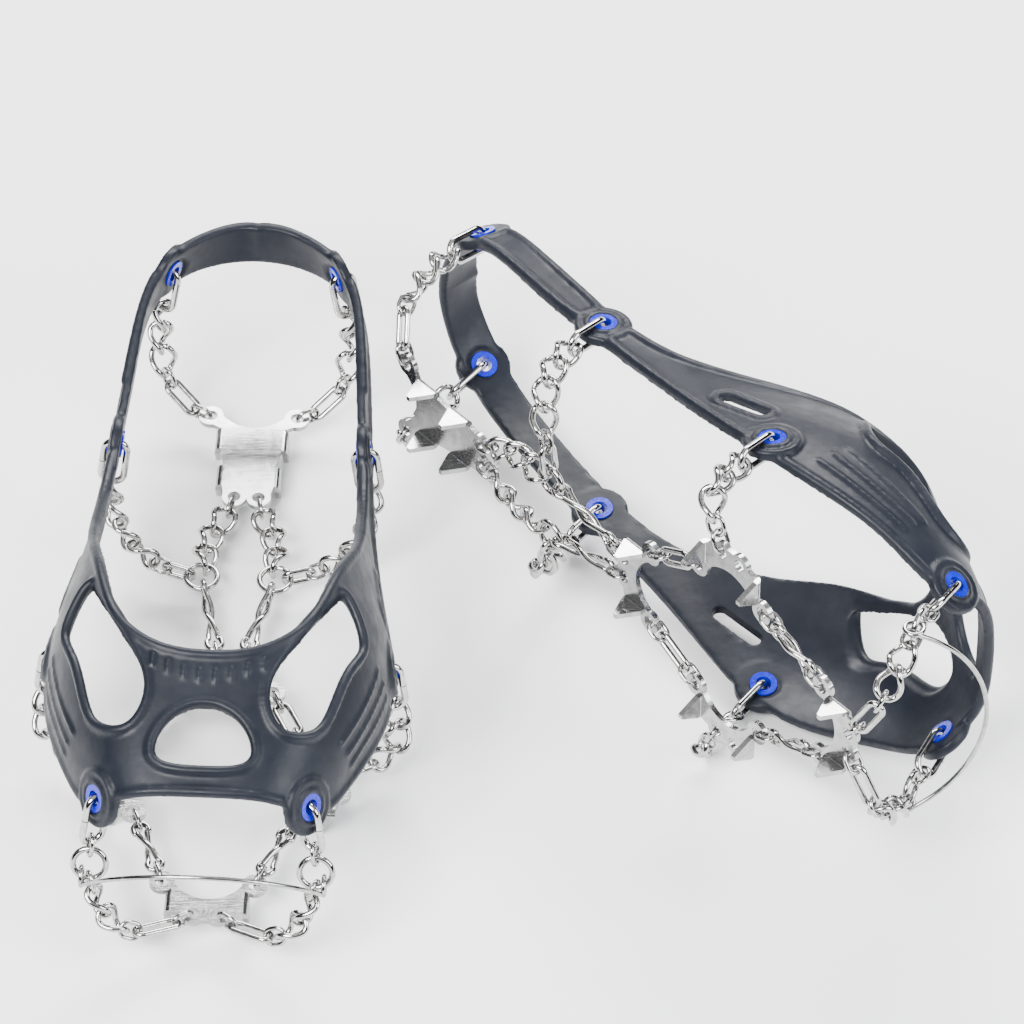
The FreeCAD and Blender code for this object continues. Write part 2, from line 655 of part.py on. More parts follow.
def flat_link(kind, start, end, over_start, over_end, roll):
    """One link lying level between two joint points."""
    way = end - start
    length = way.Length
    way.normalize()
    half = (length + over_start + over_end) / 2
    middle = (start - way * over_start + end + way * over_end) * 0.5
    turn = Rotation(way, Vector(0, 0, 1).cross(way), Vector(0, 0, 1), "XYZ")
    return place_link(kind, half, Placement(middle, turn.multiply(Rotation(Vector(1, 0, 0), roll))))


def overlap(wire_a, wire_b):
    return (wire_a + wire_b + dim("link_gap")) / 2


way_front, way_rear = REAR_APEX - JUNCTION, HEEL_FRONT - JUNCTION
way_front.normalize()
way_rear.normalize()
junction_ring = place_link("round", dim("bail_ring_radius"), Placement(JUNCTION, Rotation()))
front_ring, front = hole_ring(REAR_APEX, way_front.negative(), dim("bar_wire"))
rear_ring, rear = hole_ring(HEEL_FRONT, way_rear.negative(), dim("curb_wire"))
long_link = flat_link("twist", JUNCTION + way_front * HOOK, front,
                      overlap(dim("bar_wire"), dim("bar_wire")), overlap(dim("bar_wire"), dim("ring_wire")), 45)
log["spine"] = []
curbs = make_chain([("curb", CURB_HALF, -40), ("curb", CURB_HALF, -38), ("curb", CURB_HALF, -40)],
                   JUNCTION + way_rear * HOOK, way_rear + Vector(0, 0.3, 0), rear,
                   way_rear.negative() + Vector(0, 0.3, 0), Vector(-50, 9, 60),
                   dim("bar_wire"), dim("ring_wire"), log["spine"])
side_pair("spine_chain", [front_ring, long_link, junction_ring, rear_ring] + curbs)

# arch chain: ring, curb links, thin straight link hooked on the junction ring
ring, start, way = eyelet_ring("arch", Vector(-50, 50, 10))
to_arch = unit(-0.2, 1)
log["arch"] = []
links = make_chain([("curb", CURB_HALF, 50), ("curb", CURB_HALF, 48), ("curb", CURB_HALF, 42),
                     ("curb", CURB_HALF, 42), ("jump", JUMP_HALF, ("level", 0)), ("bar", 5.6, ("level", 90))],
                    start, way, JUNCTION + to_arch * HOOK, to_arch, Vector(-45, 0, 50),
                    dim("oblong_wire"), dim("bar_wire"), log["arch"])
side_pair("arch_chain", links)
side_pair("arch_ring", [ring])

# twisted links that join the forefoot plates into a diamond
connectors = []
for kind, roll, near, far in (("twist", 90, TOE_ARM, SIDE_FRONT_ARM),
                              ("bar", 0, REAR_ARM, SIDE_REAR_ARM)):
    way = far - near
    way.normalize()
    ring_a, a = hole_ring(near, way, dim("bar_wire"))
    ring_b, b = hole_ring(far, way.negative(), dim("bar_wire"))
    run = overlap(dim("bar_wire"), dim("ring_wire"))
    connectors += [ring_a, ring_b, flat_link(kind, a, b, run, run, roll)]
side_pair("plate_links", connectors)

# spring bow across the toe; its eyes hang on the toe chains' round rings
kind, half, at_ring = log["toe"][1]
angle = math.radians(-30)
EYE = at_ring.multVec(Vector(half * math.cos(angle), -half * math.sin(angle), 0))


def toe_bail():
    """Round bow in a tilted plane, with an eye at each end."""
    reach, tilt = dim("bail_reach"), math.radians(dim("bail_tilt"))
    forward = Vector(math.cos(tilt), 0, math.sin(tilt))
    above = Vector(-math.sin(tilt), 0, math.cos(tilt))
    foot = Vector(EYE.x, 0, EYE.z) - above * dim("bail_eye")
    radius = (EYE.y ** 2 + reach ** 2) / (2 * reach)
    half_angle = math.degrees(math.asin(EYE.y / radius))
    if reach > radius:
        half_angle = 180 - half_angle
    bow = bound("Part::Torus", "bail_bow",
                Placement(foot + forward * (reach - radius), Rotation(forward, Vector(0, 1, 0), above, "XYZ")),
                Radius1="(%.4f ^ 2 + #bail_reach ^ 2) / (2 * #bail_reach)" % EYE.y, Radius2="#bail_wire")
    bow.Placement = bow.Placement.multiply(Placement(Vector(), Rotation(Vector(0, 0, 1), -half_angle)))
    bow.Angle3 = 2 * half_angle
    eyes = [bound("Part::Torus", "bail_eye", Placement(Vector(EYE.x, side * EYE.y, EYE.z),
                                                       Rotation(Vector(0, 0, 1), Vector(0, 1, 0))),
                  Radius1="#bail_eye", Radius2="#bail_eye_wire") for side in (1, -1)]
    return fused("bail", [bow] + eyes)


PARTS["toe_bail"] = [toe_bail()]

# ---------------------------------------------------------------- the pair
PAIR = {
    "upright": Placement(Vector(-100.444, -2.477, 0), Rotation(Vector(0, 0, 1), -93)),
    "lying": Placement(Vector(29.256, -14.677, 66.825), Rotation(Vector(0, 0, 1), -49).multiply(
        Rotation(Vector(0, 1, 0), -4)).multiply(Rotation(Vector(1, 0, 0), -94))),
}
nodes = {}
for label, objects in PARTS.items():
    for cleat, place in PAIR.items():
        node = group(cleat + "_" + label, objects, place)
        node.Label = cleat + "_" + label
        nodes[node.Label] = node
doc.recompute()

for obj in doc.Objects:
    if "Invalid" in obj.State or "Error" in obj.State:
        raise RuntimeError("%s did not recompute" % obj.Label)
for label, node in nodes.items():
    if node.Shape.isNull() or not node.Shape.isValid():
        raise RuntimeError("%s has no valid shape" % label)
for label, node in nodes.items():
    node.Shape.exportStep("parts/%s.step" % label)
print(len(nodes), "nodes")
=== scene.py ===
import json
import math

import bmesh
import bpy
import numpy as np
from mathutils import Matrix, Vector
from mathutils.bvhtree import BVHTree


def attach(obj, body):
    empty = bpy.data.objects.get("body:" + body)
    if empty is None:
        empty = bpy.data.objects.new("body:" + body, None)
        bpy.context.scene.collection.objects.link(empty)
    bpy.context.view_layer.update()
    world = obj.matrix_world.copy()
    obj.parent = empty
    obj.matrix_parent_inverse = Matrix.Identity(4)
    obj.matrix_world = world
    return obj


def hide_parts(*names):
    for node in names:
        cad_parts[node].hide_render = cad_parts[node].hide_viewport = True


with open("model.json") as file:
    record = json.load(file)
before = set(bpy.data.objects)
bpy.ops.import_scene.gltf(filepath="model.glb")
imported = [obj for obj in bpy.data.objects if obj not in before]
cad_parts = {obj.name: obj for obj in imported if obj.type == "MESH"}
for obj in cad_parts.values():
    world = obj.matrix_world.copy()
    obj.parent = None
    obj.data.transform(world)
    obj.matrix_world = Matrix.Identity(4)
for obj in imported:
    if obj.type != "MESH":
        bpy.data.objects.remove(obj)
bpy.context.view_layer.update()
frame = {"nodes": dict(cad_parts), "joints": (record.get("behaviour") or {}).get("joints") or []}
MM = 0.001
CLEATS = ("upright", "lying")
joints = {j["name"]: j for j in frame["joints"]}

# how far along the foot the toe plate's rocking axis lies from the cleat's own origin, and how high
TOE_AXIS_AHEAD, TOE_AXIS_UP = 120.4 * MM, 10.0 * MM


# ------------------------------------------------------------------ the cleats' own axes
def cleat_axes(cleat):
    """Matrix from a cleat's own axes (toe along +X, left along +Y, up +Z) to the row frame."""
    toe = Vector(joints[cleat + "_toe_plate_rock"]["pos_m"])
    rear = Vector(joints[cleat + "_rear_plate_rock"]["pos_m"])
    left = Vector(joints[cleat + "_left_plate_rock"]["pos_m"])
    right = Vector(joints[cleat + "_right_plate_rock"]["pos_m"])
    along = (toe - rear).normalized()
    across = (left - right).normalized()
    up = along.cross(across).normalized()
    origin = toe - along * TOE_AXIS_AHEAD - up * TOE_AXIS_UP
    turn = Matrix((along, across, up)).transposed().to_4x4()
    return Matrix.Translation(origin) @ turn


AXES = {cleat: cleat_axes(cleat) for cleat in CLEATS}


# ------------------------------------------------------------------ materials
class Shader:
    """A node material under construction."""

    def __init__(self, name):
        self.material = bpy.data.materials.new(name)
        self.material.use_nodes = True
        self.tree = self.material.node_tree
        self.surface = self.tree.nodes["Principled BSDF"]
        self.place = self.add("ShaderNodeTexCoord").outputs["Object"]

    def add(self, kind, **settings):
        node = self.tree.nodes.new(kind)
        for name, value in settings.items():
            setattr(node, name, value)
        return node

    def link(self, output, socket):
        self.tree.links.new(output, socket)

    def put(self, **values):
        for name, value in values.items():
            self.surface.inputs[name.replace("_", " ")].default_value = value

    def noise(self, scale, detail=4.0, roughness=0.55, stretch=(1, 1, 1)):
        scaled = self.add("ShaderNodeMapping")
        scaled.inputs["Scale"].default_value = stretch
        self.link(self.place, scaled.inputs["Vector"])
        node = self.add("ShaderNodeTexNoise")
        node.inputs["Scale"].default_value = scale
        node.inputs["Detail"].default_value = detail
        node.inputs["Roughness"].default_value = roughness
        self.link(scaled.outputs["Vector"], node.inputs["Vector"])
        return node.outputs["Fac"]

    def spread(self, value, low, high, from_low=0.3, from_high=0.7):
        node = self.add("ShaderNodeMapRange")
        node.inputs["From Min"].default_value = from_low
        node.inputs["From Max"].default_value = from_high
        node.inputs["To Min"].default_value = low
        node.inputs["To Max"].default_value = high
        self.link(value, node.inputs["Value"])
        return node.outputs["Result"]

    def colours(self, value, *stops):
        ramp = self.add("ShaderNodeValToRGB")
        elements = ramp.color_ramp.elements
        while len(elements) < len(stops):
            elements.new(0.5)
        for element, (at, colour) in zip(elements, stops):
            element.position = at
            element.color = (*colour, 1)
        self.link(value, ramp.inputs["Fac"])
        return ramp.outputs["Color"]

    def bump(self, height, strength, distance, under=None):
        node = self.add("ShaderNodeBump")
        node.inputs["Strength"].default_value = strength
        node.inputs["Distance"].default_value = distance
        self.link(height, node.inputs["Height"])
        if under is not None:
            self.link(under, node.inputs["Normal"])
        return node.outputs["Normal"]


def elastomer():
    """Moulded slate-grey elastomer: satin, faintly mottled, with a fine moulded grain."""
    s = Shader("slate_elastomer")
    s.put(Specular_IOR_Level=0.2, Coat_Weight=0.0)
    slate = s.colours(s.noise(38, 5, 0.6), (0.30, (0.0056, 0.0072, 0.0120)),
                      (0.55, (0.0080, 0.0098, 0.0155)), (0.78, (0.0115, 0.0135, 0.0200)))
    s.link(slate, s.surface.inputs["Base Color"])
    s.link(s.spread(s.noise(120, 4), 0.34, 0.50), s.surface.inputs["Roughness"])
    waves = s.bump(s.noise(160, 2), 0.25, 0.0006)
    s.link(s.bump(s.noise(2600, 3), 0.22, 0.00018, waves), s.surface.inputs["Normal"])
    return s.material


def painted_grommet():
    """Bright blue lacquered metal with light handling marks."""
    s = Shader("blue_lacquer")
    s.put(Specular_IOR_Level=0.3, Coat_Weight=0.25, Coat_Roughness=0.12, Metallic=0.0)
    s.link(s.colours(s.noise(300, 4), (0.25, (0.0, 0.002, 0.34)), (0.75, (0.0, 0.006, 0.52))),
           s.surface.inputs["Base Color"])
    s.link(s.spread(s.noise(900, 5), 0.16, 0.34), s.surface.inputs["Roughness"])
    s.link(s.bump(s.noise(1800, 3), 0.12, 0.0001), s.surface.inputs["Normal"])
    return s.material


def polished_steel(name, bright, dull, rough_low, rough_high, grain):
    """Drawn steel wire: bright, with tumbling marks and slightly duller patches."""
    s = Shader(name)
    s.put(Metallic=1.0)
    patches = s.noise(420, 5, 0.6)
    s.link(s.colours(patches, (0.28, dull), (0.62, bright)), s.surface.inputs["Base Color"])
    s.link(s.spread(s.noise(700, 5), rough_low, rough_high), s.surface.inputs["Roughness"])
    s.link(s.bump(s.noise(grain, 4), 0.10, 0.00012), s.surface.inputs["Normal"])
    return s.material


def sheet_steel():
    """Stamped stainless sheet with fine rolling lines along one way and a few scuffs."""
    s = Shader("stamped_sheet")
    s.put(Metallic=1.0)
    lines = s.noise(420, 6, 0.6, stretch=(0.25, 6.0, 6.0))
    scuffs = s.noise(260, 6, 0.7)
    s.link(s.colours(scuffs, (0.30, (0.26, 0.26, 0.26)), (0.60, (0.42, 0.42, 0.415))),
           s.surface.inputs["Base Color"])
    s.link(s.spread(lines, 0.12, 0.30), s.surface.inputs["Roughness"])
    s.link(s.bump(lines, 0.18, 0.00012, s.bump(scuffs, 0.10, 0.0002)), s.surface.inputs["Normal"])
    return s.material


MATERIALS = {
    "elastomer": elastomer(),
    "grommet_blue": painted_grommet(),
    "chain_steel": polished_steel("bright_chain", bright=(0.50, 0.49, 0.48), dull=(0.28, 0.275, 0.27),
                                  rough_low=0.06, rough_high=0.18, grain=1500),
    "ring_steel": polished_steel("bright_ring", bright=(0.54, 0.53, 0.52), dull=(0.34, 0.335, 0.33),
                                 rough_low=0.06, rough_high=0.16, grain=1200),
    "spring_steel": polished_steel("spring_wire", bright=(0.42, 0.42, 0.41), dull=(0.24, 0.24, 0.235),
                                   rough_low=0.08, rough_high=0.20, grain=2200),
    "plate_steel": sheet_steel(),
}


def slot_of(node):
    """Material slot of a CAD node, from the ending of its name."""
    for ending, name in (("harness", "elastomer"), ("grommets", "grommet_blue"), ("_plate", "plate_steel"),
                         ("_ring", "ring_steel"), ("bail", "spring_steel")):
        if node.endswith(ending):
            return name
    return "chain_steel"


def paint(obj, slot):
    """Gives an object one of the materials."""
    obj.data.materials.clear()
    obj.data.materials.append(MATERIALS[slot])


for name, node in frame["nodes"].items():
    paint(node, slot_of(name))


# ------------------------------------------------------------------ the harness
MIDDLE_HEIGHT = 42 * MM      # height of the line through the boot that outward directions are taken from
TOE_CENTRE = 88 * MM         # the same line ends here, so that the toe cap bulges from this point
HEEL_CENTRE = -105 * MM
BEAD_RADIUS = 2.0 * MM
BEAD_INSET = 1.7 * MM        # how far a bead's middle lies inside the edge that it follows
BEAD_SINK = 0.75 * MM        # and how far under the surface
RIB_RADIUS = 1.0 * MM
VOXEL = 0.75 * MM
SLOT_REAR, SLOT_FRONT = (8.5 * MM, 56.6 * MM), (24.0 * MM, 59.2 * MM)
SLOT_RADIUS = 2.9 * MM
HEEL_BLEND = 15 * MM         # distance from the middle plane within which the heel band is rounded
SLOT_REAR_LIMIT, SLOT_FRONT_LIMIT = 4 * MM, 28 * MM    # edges between these belong to a side slot
LOOP_LONG = 75 * MM          # an edge loop shorter than this goes round an eyelet or a slot
LOOP_SHORT = 24 * MM         # and one shorter than this gets no bead
GROMMET_NEAR = 6 * MM        # an edge loop this near to a grommet's middle is its eyelet
RUN_GAP = 4 * MM             # ends of a run of edges this near to each other close it into a loop
BEAD_STEP = 1.4 * MM
FACE_OUT = 1.8 * MM          # from a grommet's middle to the face of the eyelet tab
WASHER = dict(radius=9.3 * MM, wire=1.5 * MM, out=-0.9 * MM)     # thick collar round the eyelet tab
LIP = dict(radius=6.0 * MM, wire=1.15 * MM, out=0.1 * MM)        # thin lip round the grommet's flange
RAY_FROM, RAY_REACH = 120 * MM, 100 * MM               # where rays that look for the side band start, and go
RIB_SHARES = (0.30, 0.50, 0.70)                        # how high each rib runs on the band
RIB_START, RIB_STEP, RIB_STEPS = 56.0, 1.9, 24         # in mm along the foot
BAND_HEIGHTS = range(22, 80)                           # in mm above the ground
DASHES, DASH_PITCH, DASH_POINTS, DASH_STEP = 8, 5.6 * MM, 8, 0.75 * MM
DASH_RADIUS, DASH_RISE = 0.7 * MM, 0.25 * MM
DASH_START, DASH_BEND = 84.5 * MM, 14                  # where the middle dash starts; how the row curves
CUT_FROM, CUT_TO = 30, 70                              # in mm off the middle plane, the slot cutters' ends
PATCH_GROW, PATCH_DEPTHS = 3 * MM, (0.15 * MM, 1.5 * MM, 2.9 * MM)


def outward(point):
    """Direction from the middle line of the boot to a point."""
    spine = Vector((min(max(point.x, HEEL_CENTRE), TOE_CENTRE), 0, MIDDLE_HEIGHT))
    return (point - spine).normalized()


def own_mesh(node_name, cleat):
    """Welded copy of a CAD node's mesh in its cleat's own axes."""
    bm = bmesh.new()
    bm.from_mesh(frame["nodes"][node_name].data)
    bm.transform(AXES[cleat].inverted())
    bmesh.ops.remove_doubles(bm, verts=bm.verts, dist=2e-6)
    bm.normal_update()
    return bm


def edge_runs(bm, sharp=math.radians(40)):
    """Loops of the shell's sharp outer edges, as lists of (point, skin normal, rim normal, length)."""
    found = {}
    for edge in bm.edges:
        if len(edge.link_faces) != 2:
            continue
        one, two = (f.normal for f in edge.link_faces)
        if one.angle(two, 0) < sharp:
            continue
        middle = (edge.verts[0].co + edge.verts[1].co) / 2
        way = outward(middle)
        skin, rim = (one, two) if abs(one.dot(way)) > abs(two.dot(way)) else (two, one)
        if skin.dot(way) > 0.2:
            found[edge] = (middle, skin.copy(), rim.copy(), edge.calc_length())
    starts = {}
    for edge in found:
        for v in edge.verts:
            starts.setdefault(v, []).append(edge)
    runs, used = [], set()
    for edge in found:
        if edge in used:
            continue
        run = [edge]
        used.add(edge)
        for grow_back in (False, True):
            here = edge.verts[0] if grow_back else edge.verts[1]
            while True:
                ahead = [e for e in starts[here] if e not in used]
                if not ahead:
                    break
                step = ahead[0]
                used.add(step)
                here = step.other_vert(here)
                if grow_back:
                    run.insert(0, step)
                else:
                    run.append(step)
        runs.append([found[e] for e in run])
    return runs


def run_length(run):
    return sum(step[3] for step in run)


def evened(points, spacing, closed):
    """Points a fixed spacing apart along a smoothed polyline."""
    for _ in range(6):
        smooth = []
        for i, p in enumerate(points):
            before = points[i - 1] if i or closed else p
            after = points[(i + 1) % len(points)] if i < len(points) - 1 or closed else p
            smooth.append((before + p * 2 + after) / 4)
        points = smooth
    walk = points + [points[0]] if closed else points
    result, left = [walk[0]], spacing
    for a, b in zip(walk, walk[1:]):
        step = (b - a).length
        done = 0.0
        while step - done >= left > 0:
            done += left
            result.append(a.lerp(b, done / step))
            left = spacing
        left -= step - done
    return result


def tube(points, radius, closed, sides=10):
    """Mesh data of a round tube along points."""
    count = len(points)
    verts, faces = [], []
    side = None
    for i, p in enumerate(points):
        before = points[(i - 1) % count] if closed or i else p
        after = points[(i + 1) % count] if closed or i < count - 1 else p
        way = (after - before).normalized()
        if side is None:
            side = way.orthogonal().normalized()
        side = (side - way * side.dot(way)).normalized()
        other = way.cross(side)
        end = not closed and i in (0, count - 1)
        size = radius * (0.35 if end else 1.0)
        for k in range(sides):
            a = 2 * math.pi * k / sides
            verts.append(p + (side * math.cos(a) + other * math.sin(a)) * size)
    spans = count if closed else count - 1
    for i in range(spans):
        # a closed tube's frame has turned on its way round, so its last span starts at the nearest corner
        shift = 0
        j = (i + 1) % count
        if closed and j == 0:
            shift = min(range(sides), key=lambda k: (verts[i * sides] - verts[k]).length)
        for k in range(sides):
            k2 = (k + 1) % sides
            faces.append((i * sides + k, i * sides + k2,
                          j * sides + (k2 + shift) % sides, j * sides + (k + shift) % sides))
    if not closed:
        faces.append(tuple(range(sides - 1, -1, -1)))
        faces.append(tuple((count - 1) * sides + k for k in range(sides)))
    return verts, faces


def add_part(bm, verts, faces):
    made = [bm.verts.new(v) for v in verts]
    for f in faces:
        bm.faces.new([made[i] for i in f])


def add_tube(bm, points, radius, closed):
    if len(points) > 3:
        add_part(bm, *tube(points, radius, closed))


def ring_points(centre, axis, radius, count=48):
    side = axis.orthogonal().normalized()
    other = axis.cross(side)
    turns = [2 * math.pi * k / count for k in range(count)]
    return [centre + (side * math.cos(a) + other * math.sin(a)) * radius for a in turns]


def eyelets(cleat):
    """Centre and outward axis of each grommet, in the cleat's own axes."""
    bm = own_mesh(cleat + "_eyelet_grommets", cleat)
    left = dict.fromkeys(bm.verts)
    found = []
    while left:
        start = next(iter(left))
        del left[start]
        island, queue = [start], [start]
        while queue:
            for edge in queue.pop().link_edges:
                for v in edge.verts:
                    if v in left:
                        del left[v]
                        island.append(v)
                        queue.append(v)
        centre = sum((v.co for v in island), Vector()) / len(island)
        # the flanges' flat faces look along the axis, so their normals add up to it
        axis = Vector()
        faces = dict.fromkeys(f for v in island for f in v.link_faces)
        way = outward(centre)
        for f in faces:
            if abs(f.normal.dot(way)) > 0.9:
                axis += f.normal * f.calc_area() * (1 if f.normal.dot(way) > 0 else -1)
        found.append((centre, axis.normalized()))
    bm.free()
    return found


def surface_hit(tree, height, x, side):
    """Outer surface point of the side band at one height, from outside."""
    start = Vector((x, side * RAY_FROM, height))
    hit, normal, _, _ = tree.ray_cast(start, Vector((0, -side, 0)), RAY_REACH)
    return hit, normal


def band_ribs(bm, tree):
    """Parallel ribs that run lengthwise on the side bands, between the toe and ball eyelets."""
    lines = []
    for side in (1, -1):
        for share in RIB_SHARES:
            line = []
            for step in range(RIB_STEPS):
                x = (RIB_START + step * RIB_STEP) * MM
                band = []
                for height in BAND_HEIGHTS:
                    z = height * MM
                    hit, _ = surface_hit(tree, z, x, side)
                    if hit is not None and side * hit.y > 0.01:
                        band.append((z, hit))
                    elif band:
                        break
                if len(band) < 8:
                    continue
                z = band[0][0] + (band[-1][0] - band[0][0]) * share
                hit, normal = surface_hit(tree, z, x, side)
                if hit is not None:
                    line.append(hit + normal * 0.05 * MM)
            if len(line) > 8:
                lines.append(evened(line, 1.2 * MM, False))
    for line in lines:
        add_tube(bm, line, RIB_RADIUS, False)


def vamp_marks(bm, tree):
    """A row of plain raised dashes across the vamp, between its upper edge and the middle window."""
    for step in range(-DASHES // 2, DASHES // 2):
        y = (step + 0.5) * DASH_PITCH
        start = DASH_START - y * y * DASH_BEND
        line = []
        for k in range(DASH_POINTS):
            above = Vector((start + k * DASH_STEP, y, 0.16))
            hit, normal, _, _ = tree.ray_cast(above, Vector((0, 0, -1)), 0.12)
            if hit is not None:
                line.append(hit + normal * DASH_RISE)
        add_tube(bm, line, DASH_RADIUS, False)


def slot_outline(grow, count=56):
    """Points (x, z) round a side slot, grown outward by a margin."""
    (x0, z0), (x1, z1) = SLOT_REAR, SLOT_FRONT
    tilt = math.atan2(z1 - z0, x1 - x0)
    points = []
    for k in range(count):
        a = 2 * math.pi * (k + 0.5) / count
        x, z = (x1, z1) if math.cos(a) > 0 else (x0, z0)
        reach = SLOT_RADIUS + grow
        points.append((x + reach * math.cos(a + tilt), z + reach * math.sin(a + tilt)))
    return points


def add_prism(bm, rings):
    """Closed solid through several rings of points, with flat ends."""
    count = len(rings[0])
    faces = [tuple(range(count)), tuple(reversed(range((len(rings) - 1) * count, len(rings) * count)))]
    for r in range(len(rings) - 1):
        for k in range(count):
            a, b = r * count + k, r * count + (k + 1) % count
            faces.append((b, a, a + count, b + count))
    add_part(bm, [p for ring in rings for p in ring], faces)


def side_slots(bm, tree):
    """Fills the plain slots in both side bands, rims them, and returns the solids that cut them again."""
    cutter = bmesh.new()
    for side in (1, -1):
        rim, patch = [], []
        for grow, points in ((BEAD_INSET, rim), (PATCH_GROW, patch)):
            for x, z in slot_outline(grow):
                hit, normal = surface_hit(tree, z, x, side)
                points.append((hit, normal))
        add_tube(bm, [hit - normal * BEAD_SINK for hit, normal in rim], 0.9 * BEAD_RADIUS, True)
        add_prism(bm, [[hit - normal * depth for hit, normal in patch] for depth in PATCH_DEPTHS][::side])
        walls = [[Vector((x, side * y * MM, z)) for x, z in slot_outline(0)]
                 for y in range(CUT_FROM, CUT_TO + 1)]
        add_prism(cutter, walls[::-side])
    bmesh.ops.recalc_face_normals(cutter, faces=cutter.faces)
    mesh = bpy.data.meshes.new("slot_cutter")
    cutter.to_mesh(mesh)
    cutter.free()
    return bpy.data.objects.new("slot_cutter", mesh)


def round_the_heel(mesh, slope):
    """Bends the heel band's middle, where its two halves meet at an angle, into one curve."""
    for v in mesh.vertices:
        x, y = v.co.x, abs(v.co.y)
        if x < HEEL_CENTRE and y < HEEL_BLEND:
            v.co.x += slope * ((y * y + HEEL_BLEND ** 2) / (2 * HEEL_BLEND) - y)


def heel_slope(tree):
    """How fast the heel band runs forward with distance from the foot's middle plane."""
    reach = []
    for y in (1.0, 11.0):
        starts = [Vector((-0.2, y * MM, z * MM)) for z in (62, 66, 70)]
        hits = [tree.ray_cast(start, Vector((1, 0, 0)), 0.12)[0] for start in starts]
        reach.append(sum(hit.x for hit in hits) / 3)
    return (reach[1] - reach[0]) / (10 * MM)


def build_harness(cleat):
    """The moulded harness in its own axes: the CAD shell with beads, washers, ribs and rounded edges."""
    shell = own_mesh(cleat + "_harness", cleat)
    tree = BVHTree.FromBMesh(shell)
    slope = heel_slope(tree)
    extra = bmesh.new()
    holes = eyelets(cleat)
    for run in edge_runs(shell):
        middle = sum((step[0] for step in run), Vector()) / len(run)
        short = run_length(run) < LOOP_LONG
        around_grommet = short and any((middle - c).length < GROMMET_NEAR for c, _ in holes)
        around_slot = short and SLOT_REAR_LIMIT < middle.x < SLOT_FRONT_LIMIT
        if run_length(run) < LOOP_SHORT or around_grommet or around_slot:
            continue
        points = [p - rim * BEAD_INSET - skin * BEAD_SINK for p, skin, rim, _ in run]
        closed = (points[0] - points[-1]).length < RUN_GAP
        add_tube(extra, evened(points, BEAD_STEP, closed), BEAD_RADIUS, closed)
    for centre, axis in holes:
        face = centre + axis * FACE_OUT
        for ring in (WASHER, LIP):
            add_tube(extra, ring_points(face + axis * ring["out"], axis, ring["radius"]), ring["wire"], True)
    cutter = side_slots(extra, tree)
    bpy.context.scene.collection.objects.link(cutter)
    band_ribs(extra, tree)
    vamp_marks(extra, tree)
    mesh = bpy.data.meshes.new(cleat + "_harness_shell")
    joined = bmesh.new()
    for source in (shell, extra):
        temporary = bpy.data.meshes.new("temporary")
        source.to_mesh(temporary)
        joined.from_mesh(temporary)
        bpy.data.meshes.remove(temporary)
        source.free()
    joined.to_mesh(mesh)
    joined.free()
    obj = bpy.data.objects.new(cleat + "_moulded_harness", mesh)
    bpy.context.scene.collection.objects.link(obj)
    remesh = obj.modifiers.new("skin", "REMESH")
    remesh.mode = "VOXEL"
    remesh.voxel_size = VOXEL
    slots = obj.modifiers.new("slots", "BOOLEAN")
    slots.operation, slots.solver, slots.object = "DIFFERENCE", "MANIFOLD", cutter
    soften = obj.modifiers.new("soften", "SMOOTH")
    soften.factor = 0.5
    soften.iterations = 4
    bpy.context.view_layer.update()
    done = bpy.data.meshes.new_from_object(obj.evaluated_get(bpy.context.evaluated_depsgraph_get()))
    obj.modifiers.clear()
    bpy.data.objects.remove(cutter)
    obj.data = done
    round_the_heel(done, slope)
    bpy.data.meshes.remove(mesh)
    done.polygons.foreach_set("use_smooth", [True] * len(done.polygons))
    return obj


for cleat in CLEATS:
    harness = build_harness(cleat)
    harness.data.transform(AXES[cleat])
    paint(harness, "elastomer")
    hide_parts(cleat + "_harness")
    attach(harness, cleat + "_cleat")


# ------------------------------------------------------------------ butt joints of the oblong rings, their gaps shown as painted shade
RING_HALF_WIDTH = 4.2 * MM
RING_WIRE = 1.3 * MM
SEAM_WIDTH = 0.35 * MM
SEAM_PROUD = 0.02 * MM


def gap_shade_metal():
    """Painted shade: dark, rough metal band standing for the shadow inside the joint gap of a bent ring."""
    s = Shader("ring_joint_painted_shade")
    s.put(Metallic=1.0)
    # painted shade: this dark colour stands in for the shadow inside the joint's gap
    s.link(s.colours(s.noise(900, 4), (0.3, (0.02, 0.02, 0.022)), (0.7, (0.07, 0.068, 0.065))),
           s.surface.inputs["Base Color"])
    s.link(s.spread(s.noise(1500, 3), 0.45, 0.7), s.surface.inputs["Roughness"])
    return s.material


def ring_axes(node):
    """Middle, long axis and width axis of a flat oblong ring."""
    co = np.array([v.co for v in node.data.vertices], float)
    middle = co.mean(0)
    _, _, ways = np.linalg.svd(co - middle, full_matrices=False)
    along = ways[0]
    reach = (co - middle) @ along
    middle = middle + along * (reach.max() + reach.min()) / 2
    return Vector(middle), Vector(along), Vector(ways[1])


def add_seam(ring_name, cleat, material):
    middle, along, wide = ring_axes(frame["nodes"][ring_name])
    inverse = AXES[cleat].inverted()
    if (inverse.to_3x3() @ wide).dot(outward(inverse @ middle)) < 0:
        wide = -wide
    at = middle + wide * RING_HALF_WIDTH
    rings = [ring_points(at + along * SEAM_WIDTH * f, along, RING_WIRE + SEAM_PROUD, 28) for f in (-0.5, 0.5)]
    bm = bmesh.new()
    add_prism(bm, rings)
    bmesh.ops.recalc_face_normals(bm, faces=bm.faces)
    mesh = bpy.data.meshes.new(ring_name + "_seam")
    bm.to_mesh(mesh)
    bm.free()
    obj = bpy.data.objects.new(ring_name + "_seam", mesh)
    bpy.context.scene.collection.objects.link(obj)
    mesh.materials.append(material)
    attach(obj, ring_name)


# one painted-shade material for the dark band at every ring's joint
painted_gap_shade = gap_shade_metal()
for cleat in CLEATS:
    for eyelet in ("toe", "ball", "arch", "heel"):
        for side in ("left", "right"):
            add_seam("%s_%s_%s_ring" % (cleat, side, eyelet), cleat, painted_gap_shade)


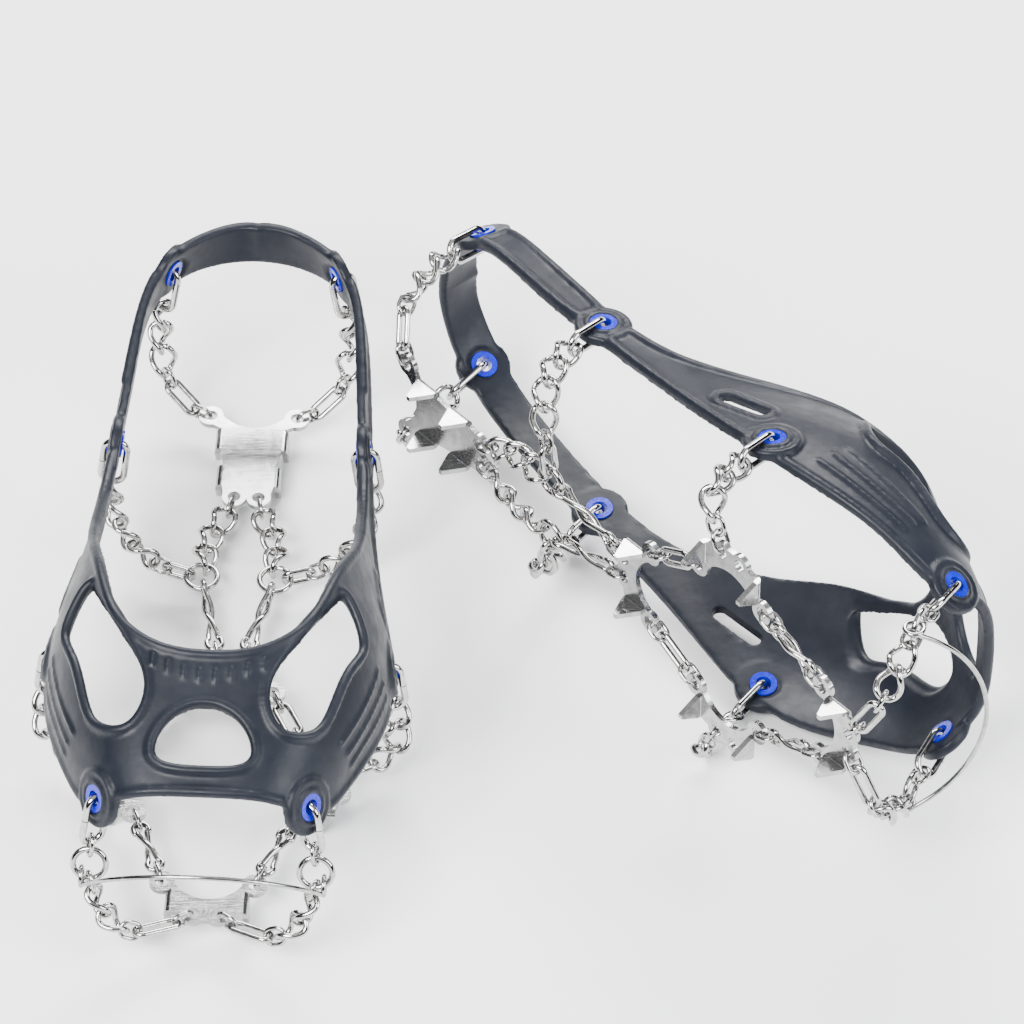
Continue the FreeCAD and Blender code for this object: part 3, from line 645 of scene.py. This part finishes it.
# ------------------------------------------------------------------ floor, light, camera
def plain(name, colour, roughness):
    s = Shader(name)
    s.put(Base_Color=(*colour, 1), Roughness=roughness)
    return s.material


FLOOR_SIZE, FLOOR_DROP = 14, 0.6 * MM
bpy.ops.mesh.primitive_plane_add(size=FLOOR_SIZE, location=(0, 0, -FLOOR_DROP))
floor = bpy.context.object
floor.name = "floor"
floor.data.materials.append(plain("pale_floor", (0.93, 0.93, 0.93), 0.8))

world = bpy.data.worlds.new("studio")
world.use_nodes = True
nodes, links = world.node_tree.nodes, world.node_tree.links
facing = nodes.new("ShaderNodeTexCoord")
split = nodes.new("ShaderNodeSeparateXYZ")
sky = nodes.new("ShaderNodeValToRGB")
SKY = ((0.0, (0.05, 0.05, 0.055)), (0.30, (0.03, 0.03, 0.035)),
       (0.60, (0.20, 0.21, 0.23)), (0.85, (1.0, 1.0, 1.0)))
while len(sky.color_ramp.elements) < len(SKY):
    sky.color_ramp.elements.new(0.5)
for element, (at, colour) in zip(sky.color_ramp.elements, SKY):
    element.position, element.color = at, (*colour, 1)
links.new(facing.outputs["Generated"], split.inputs["Vector"])
links.new(split.outputs["Z"], sky.inputs["Fac"])
links.new(sky.outputs["Color"], nodes["Background"].inputs["Color"])
nodes["Background"].inputs["Strength"].default_value = 0.9
bpy.context.scene.world = world


def softbox(name, at, aim, size, power, colour=(1, 1, 1)):
    light = bpy.data.lights.new(name, "AREA")
    light.shape, light.size, light.size_y = "RECTANGLE", size[0], size[1]
    light.energy, light.color = power, colour
    obj = bpy.data.objects.new(name, light)
    obj.location = at
    obj.rotation_euler = (Vector(aim) - Vector(at)).to_track_quat("-Z", "Y").to_euler()
    bpy.context.scene.collection.objects.link(obj)


AIM = (0, 0, 0.04)
softbox("key", (-0.9, -1.1, 1.7), AIM, (1.2, 0.9), 120)
softbox("fill", (1.5, -0.7, 1.1), AIM, (1.1, 1.1), 54, (0.93, 0.96, 1))
softbox("back", (0.2, 1.6, 1.3), AIM, (1.6, 0.6), 90)

look_at = Vector((1.356, 71.723, 0)) * MM
PITCH, DISTANCE = math.radians(48.2), 3.153
SENSOR, LENS = 36, 299.5     # mm
camera_data = bpy.data.cameras.new("camera")
camera_data.sensor_width, camera_data.lens = SENSOR, LENS
camera_data.clip_end = 30
camera = bpy.data.objects.new("camera", camera_data)
camera.location = look_at + Vector((0, -math.cos(PITCH), math.sin(PITCH))) * DISTANCE
camera.rotation_euler = (look_at - camera.location).to_track_quat("-Z", "Y").to_euler()
bpy.context.scene.collection.objects.link(camera)
bpy.context.scene.camera = camera
